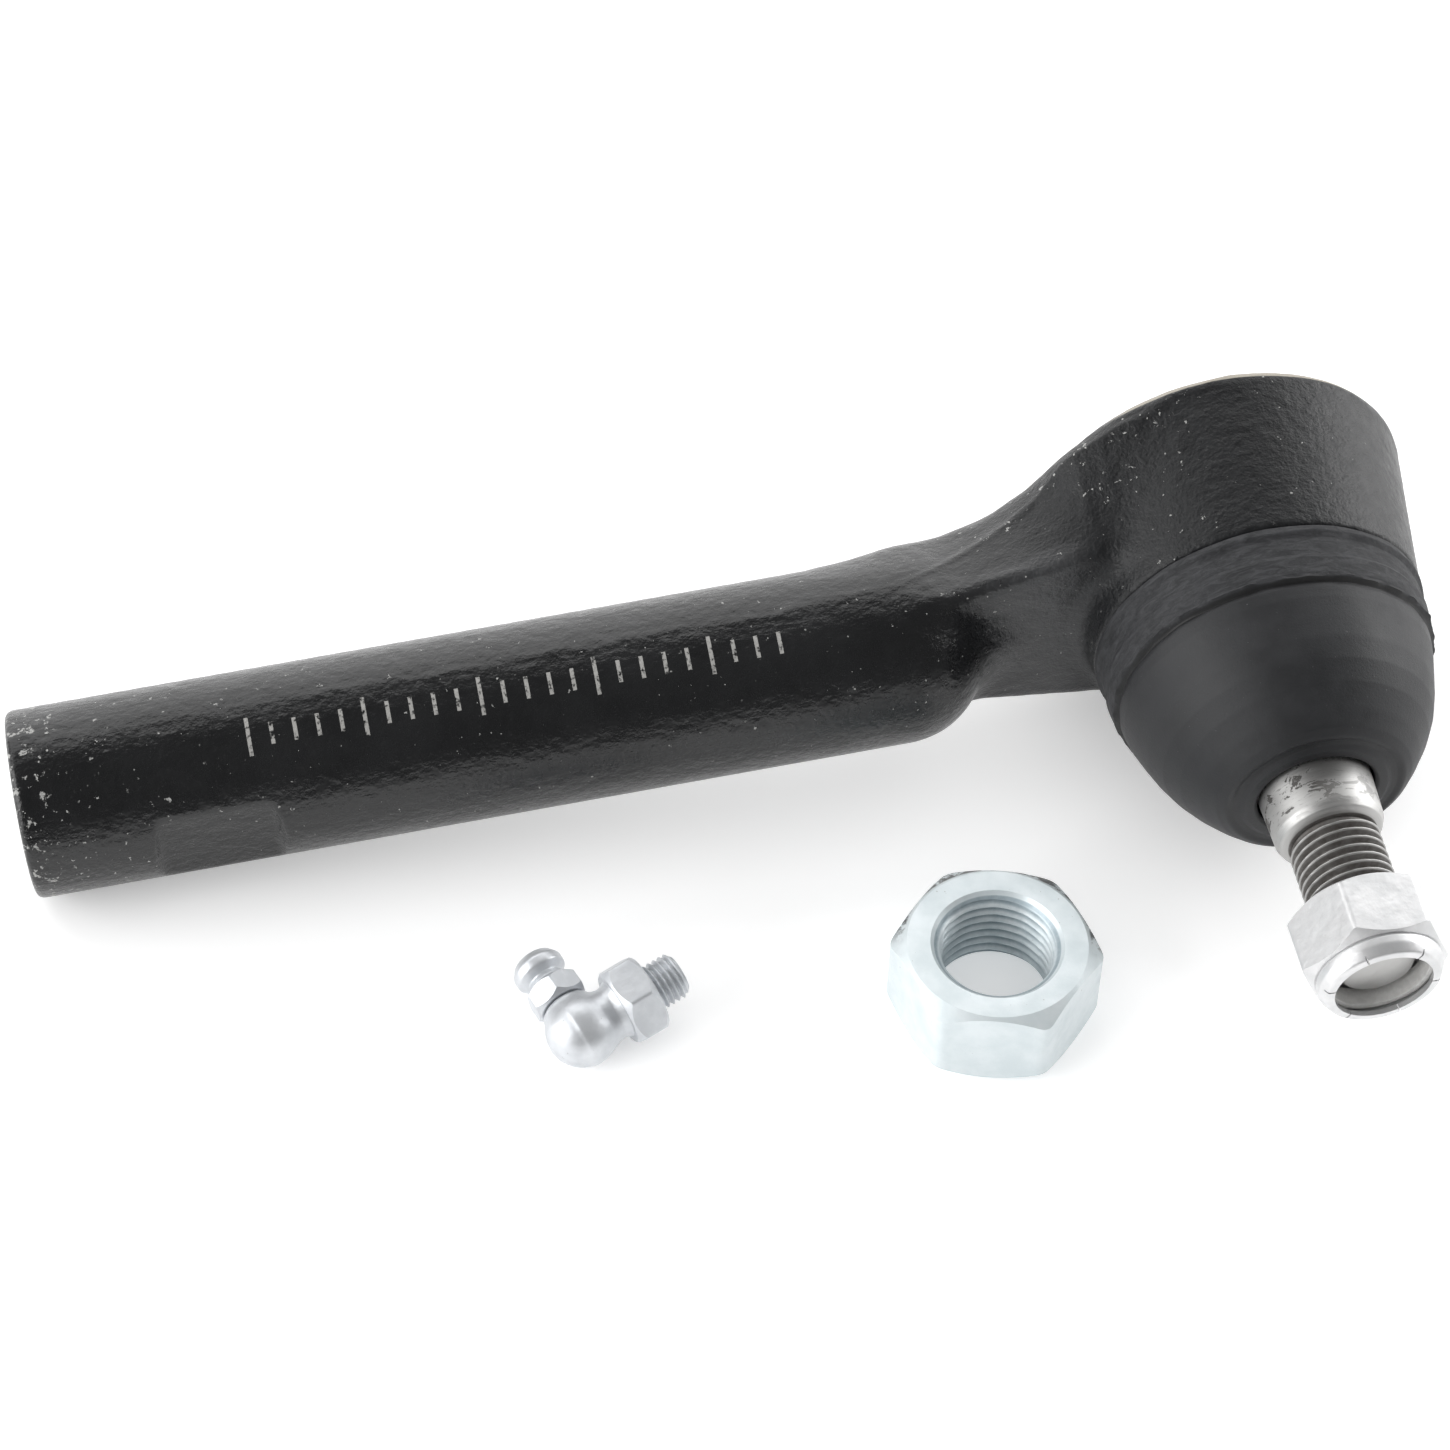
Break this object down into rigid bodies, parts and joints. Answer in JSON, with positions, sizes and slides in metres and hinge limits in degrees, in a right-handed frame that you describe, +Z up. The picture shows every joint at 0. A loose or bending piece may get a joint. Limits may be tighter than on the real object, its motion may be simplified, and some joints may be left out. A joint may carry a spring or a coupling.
{
  "type": "tie rod end",
  "caption": "Outer steering tie rod end: threaded shank, ball socket head with dust boot, tapered stud with lock nut, plus a loose jam nut and elbow grease fitting.",
  "frame": {"origin": "middle of the footprint on the table the pieces lie on", "axes": "+X from the shank's open end towards the head, +Z up, the stud points to -Y"},
  "size_m": [0.1878, 0.0824, 0.05],
  "materials": {
    "socket_housing": "black gloss paint over a forged surface",
    "cover_plate": "pressed steel plate, dull",
    "preload_spring": "dark spring steel",
    "pressure_plate": "pressed steel",
    "rear_bearing": "off-white acetal",
    "front_bearing": "off-white acetal",
    "ball_stud": "turned steel, oily at the thread",
    "dust_boot": "satin dark grey rubber",
    "boot_collar_ring": "spring wire band",
    "boot_neck_ring": "spring wire band",
    "lock_nut": "bright zinc plate",
    "nylon_insert": "grey nylon",
    "jam_nut": "blue-tinted zinc plate",
    "grease_elbow": "satin zinc plate",
    "grease_nipple": "satin zinc plate",
    "check_ball": "polished ball",
    "check_spring": "spring wire"
  },
  "bodies": {
    "socket": {"socket_housing": "socket_housing", "cover_plate": "cover_plate", "preload_spring": "preload_spring", "pressure_plate": "pressure_plate", "rear_bearing": "rear_bearing", "boot_collar_ring": "boot_collar_ring"},
    "swing_plane": {"front_bearing": "front_bearing", "dust_boot": "dust_boot"},
    "stud_swing": {"boot_neck_ring": "boot_neck_ring"},
    "stud": {"ball_stud": "ball_stud"},
    "nut_travel": {"nylon_insert": "nylon_insert"},
    "lock_nut": {"lock_nut": "lock_nut"},
    "jam_nut": {"jam_nut": "jam_nut"},
    "fitting": {"grease_elbow": "grease_elbow", "grease_nipple": "grease_nipple", "check_spring": "check_spring"},
    "check_ball": {"check_ball": "check_ball"}
  },
  "joints": [
    {"name": "socket_turn", "type": "hinge", "parent": "socket", "child": "swing_plane", "pos_m": [0.06904, 0.02306, 0.02418], "axis": [0.0043, -0.9983, -0.0576], "continuous": true},
    {"name": "stud_tilt", "type": "hinge", "parent": "swing_plane", "child": "stud_swing", "pos_m": [0.06904, 0.02306, 0.02418], "axis": [0.9973, 0, 0.0739], "range_deg": [-20, 20], "deforming": ["dust_boot"]},
    {"name": "stud_spin", "type": "hinge", "parent": "stud_swing", "child": "stud", "pos_m": [0.06904, 0.02306, 0.02418], "axis": [0.0252, -0.9981, -0.056], "continuous": true},
    {"name": "nut_slide", "type": "slide", "parent": "stud", "child": "nut_travel", "axis": [0.0252, -0.9981, -0.056], "range_m": [0, 0.0126]},
    {"name": "nut_turn", "type": "hinge", "parent": "nut_travel", "child": "lock_nut", "pos_m": [0.06904, 0.02306, 0.02418], "axis": [0.0252, -0.9981, -0.056], "range_deg": [0, 3600]},
    {"name": "jam_nut_lift", "type": "slide", "parent": "socket", "child": "jam_nut", "axis": [0, 0, 1], "range_m": [0, 0.06]},
    {"name": "fitting_lift", "type": "slide", "parent": "socket", "child": "fitting", "axis": [0, 0, 1], "range_m": [0, 0.06]},
    {"name": "check_valve", "type": "slide", "parent": "fitting", "child": "check_ball", "axis": [0.3729, -0.9253, -0.0688], "range_m": [0, 0.001], "stiffness_N_per_m": 200, "springref_m": -0.0005, "deforming": ["check_spring"]}
  ],
  "couplings": [
    {"joint": "nut_slide", "follows": "nut_turn", "m_per_rad": 0.00019894}
  ]
}
